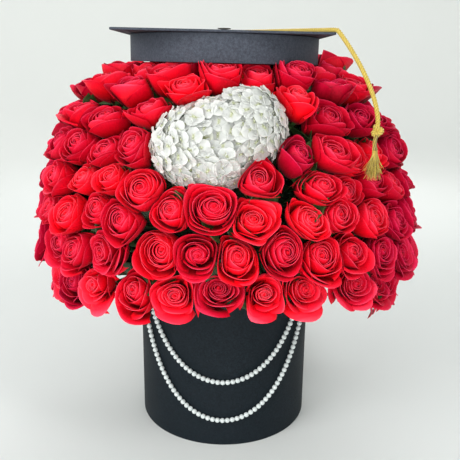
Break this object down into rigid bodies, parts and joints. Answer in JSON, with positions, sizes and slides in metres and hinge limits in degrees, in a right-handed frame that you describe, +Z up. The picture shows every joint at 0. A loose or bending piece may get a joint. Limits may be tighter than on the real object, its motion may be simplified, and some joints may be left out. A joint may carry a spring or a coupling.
{
  "type": "flower box",
  "caption": "Round paper flower box filled with a dome of red roses and a white hydrangea, with a lift-off graduation-cap lid, a swinging gold tassel and draped pearl strands.",
  "frame": {"origin": "centre of the box's round bottom, on the surface it stands on", "axes": "+Z up, -Y the front with the hydrangea and the pearl strands, +X to the right seen from the front"},
  "size_m": [0.4868, 0.4226, 0.4924],
  "materials": {
    "black_paper": "matte textured paper over board",
    "charcoal_board": "matte paper over board",
    "liner_plastic": "thin waterproof film",
    "floral_foam": "fine open foam",
    "red_petal": "velvety petals",
    "white_petal": "thin soft petals",
    "gold_cord": "twisted rayon cord",
    "pearl": "pearlescent",
    "silver_metal": "bright eyelets"
  },
  "bodies": {
    "flower_box": {"box_base": "black_paper", "box_wall": "black_paper", "eyelet_lower_left": "silver_metal", "eyelet_lower_right": "silver_metal", "eyelet_upper_left": "silver_metal", "eyelet_upper_right": "silver_metal", "foam_core": "floral_foam", "foam_crown": "floral_foam", "hydrangea_head": "white_petal", "inner_liner": "liner_plastic", "rose_row10_bunch1": "red_petal", "rose_row1_bunch1": "red_petal", "rose_row1_bunch2": "red_petal", "rose_row1_bunch3": "red_petal", "rose_row1_bunch4": "red_petal", "rose_row1_bunch5": "red_petal", "rose_row2_bunch1": "red_petal", "rose_row2_bunch2": "red_petal", "rose_row2_bunch3": "red_petal", "rose_row2_bunch4": "red_petal", "rose_row2_bunch5": "red_petal", "rose_row2_bunch6": "red_petal", "rose_row3_bunch1": "red_petal", "rose_row3_bunch2": "red_petal", "rose_row3_bunch3": "red_petal", "rose_row3_bunch4": "red_petal", "rose_row3_bunch5": "red_petal", "rose_row3_bunch6": "red_petal", "rose_row4_bunch1": "red_petal", "rose_row4_bunch2": "red_petal", "rose_row4_bunch3": "red_petal", "rose_row4_bunch4": "red_petal", "rose_row4_bunch5": "red_petal", "rose_row5_bunch1": "red_petal", "rose_row5_bunch2": "red_petal", "rose_row5_bunch3": "red_petal", "rose_row5_bunch4": "red_petal", "rose_row5_bunch5": "red_petal", "rose_row6_bunch1": "red_petal", "rose_row6_bunch2": "red_petal", "rose_row6_bunch3": "red_petal", "rose_row6_bunch4": "red_petal", "rose_row7_bunch1": "red_petal", "rose_row7_bunch2": "red_petal", "rose_row7_bunch3": "red_petal", "rose_row8_bunch1": "red_petal", "rose_row8_bunch2": "red_petal", "rose_row8_bunch3": "red_petal", "rose_row9_bunch1": "red_petal", "rose_row9_bunch2": "red_petal"},
    "lid": {"lid_band": "charcoal_board", "lid_top_disc": "charcoal_board", "mortarboard": "charcoal_board", "tassel_button": "black_paper"},
    "tassel_top": {"tassel_cord_top": "gold_cord"},
    "tassel_hanging": {"tassel_cord_drop": "gold_cord", "tassel_fringe": "gold_cord"},
    "pearls_upper": {"pearl_strand_upper": "pearl"},
    "pearls_lower": {"pearl_strand_lower": "pearl"}
  },
  "joints": [
    {"name": "lid_lift", "type": "slide", "parent": "flower_box", "child": "lid", "axis": [0, 0, 1], "range_m": [0, 0.12]},
    {"name": "tassel_turn", "type": "hinge", "parent": "lid", "child": "tassel_top", "pos_m": [-0.00363, 0, 0.48801], "axis": [0.0105, 0, 0.9999], "range_deg": [0, 10]},
    {"name": "tassel_swing", "type": "hinge", "parent": "tassel_top", "child": "tassel_hanging", "pos_m": [0.11322, -0.11089, 0.48679], "axis": [-0.6883, -0.7254, 0.0072], "range_deg": [0, 50]},
    {"name": "pearl_upper_swing", "type": "hinge", "parent": "flower_box", "child": "pearls_upper", "pos_m": [0, -0.0635, 0.176], "axis": [-1, 0, 0], "range_deg": [0, 40]},
    {"name": "pearl_lower_swing", "type": "hinge", "parent": "flower_box", "child": "pearls_lower", "pos_m": [0, -0.0482, 0.176], "axis": [-1, 0, 0], "range_deg": [0, 40]}
  ]
}
